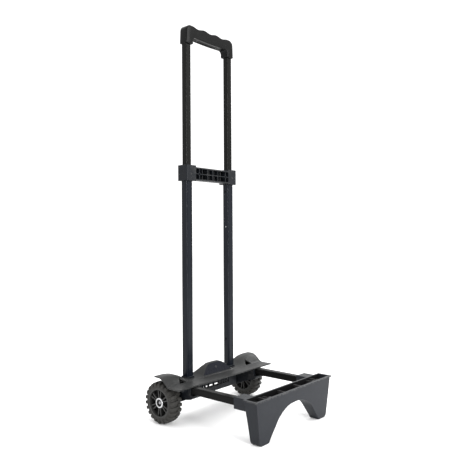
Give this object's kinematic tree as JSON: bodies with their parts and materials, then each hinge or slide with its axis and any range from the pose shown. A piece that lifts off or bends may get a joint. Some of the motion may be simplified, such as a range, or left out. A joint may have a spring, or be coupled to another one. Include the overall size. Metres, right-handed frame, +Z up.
{
  "type": "luggage trolley",
  "caption": "Two-wheeled luggage trolley with a telescoping twin-tube mast, load plate with wheel arches and a sliding front foot.",
  "frame": {"origin": "on the floor, under the centre of the trolley's outer box", "axes": "+Z up, +X to the right as seen from the front, the load plate and the foot reach towards -Y"},
  "size_m": [0.363, 0.336, 0.9926],
  "materials": {
    "plate_plastic": "satin moulded plastic, fine grain",
    "foot_plastic": "matte moulded plastic, fine grain",
    "black_plastic": "matte moulded plastic",
    "grip_plastic": "matte soft-touch plastic",
    "panel_plastic": "smooth satin plastic",
    "outer_tube_paint": "satin black anodised",
    "inner_tube_paint": "satin black",
    "tyre_rubber": "matte, moulded tread",
    "rim_plastic": "satin moulded plastic",
    "bright_trim": "bright plated",
    "steel": "plain steel",
    "screw_black": "black oxide",
    "nylon": "dark nylon"
  },
  "bodies": {
    "base": {"base_plate": "plate_plastic", "hump_panel": "panel_plastic", "hump_panel_screw": "screw_black", "crossmember": "black_plastic", "side_bracket_left": "black_plastic", "side_bracket_right": "black_plastic", "tube_socket_left": "black_plastic", "tube_socket_right": "black_plastic", "outer_tube_left": "outer_tube_paint", "outer_tube_right": "outer_tube_paint", "tube_collar_left": "black_plastic", "tube_collar_right": "black_plastic", "crossbar": "black_plastic", "crossbar_rear_cover": "black_plastic", "crossbar_screws": "screw_black", "guide_bush_left": "nylon", "guide_bush_right": "nylon", "axle": "steel", "axle_clips": "screw_black", "wheel_spacers": "nylon", "plate_screws": "screw_black"},
    "handle": {"inner_tube_left": "inner_tube_paint", "inner_tube_right": "inner_tube_paint", "handle_shell": "grip_plastic", "handle_under_cover": "grip_plastic", "handle_screws": "screw_black", "inner_tube_plug_left": "nylon", "inner_tube_plug_right": "nylon", "detent_spring_left": "steel", "detent_spring_right": "steel"},
    "detent_pin_left": {"detent_pin_left": "bright_trim"},
    "detent_pin_right": {"detent_pin_right": "bright_trim"},
    "wheel_left": {"tyre_left": "tyre_rubber", "rim_left": "rim_plastic", "hub_bush_left": "nylon", "hub_ring_left": "bright_trim"},
    "wheel_right": {"tyre_right": "tyre_rubber", "rim_right": "rim_plastic", "hub_bush_right": "nylon", "hub_ring_right": "bright_trim"},
    "platform": {"rail_left": "outer_tube_paint", "rail_right": "outer_tube_paint", "front_foot": "foot_plastic", "rail_screws": "screw_black", "rail_plug_left": "black_plastic", "rail_plug_right": "black_plastic"}
  },
  "joints": [
    {"name": "handle_slide", "type": "slide", "parent": "base", "child": "handle", "axis": [0, 0, 1], "range_m": [-0.308, 0.096]},
    {"name": "platform_slide", "type": "slide", "parent": "base", "child": "platform", "axis": [0, 1, 0], "range_m": [0, 0.125]},
    {"name": "wheel_left_spin", "type": "hinge", "parent": "base", "child": "wheel_left", "pos_m": [-0.1595, 0.117, 0.051], "axis": [1, 0, 0], "continuous": true},
    {"name": "wheel_right_spin", "type": "hinge", "parent": "base", "child": "wheel_right", "pos_m": [0.1595, 0.117, 0.051], "axis": [1, 0, 0], "continuous": true},
    {"name": "detent_pin_left_press", "type": "slide", "parent": "handle", "child": "detent_pin_left", "axis": [-1, 0, 0], "range_m": [0, 0.002], "stiffness_N_per_m": 400, "springref_m": -0.002, "deforming": ["detent_spring_left"]},
    {"name": "detent_pin_right_press", "type": "slide", "parent": "handle", "child": "detent_pin_right", "axis": [1, 0, 0], "range_m": [0, 0.002], "stiffness_N_per_m": 400, "springref_m": -0.002, "deforming": ["detent_spring_right"]}
  ]
}
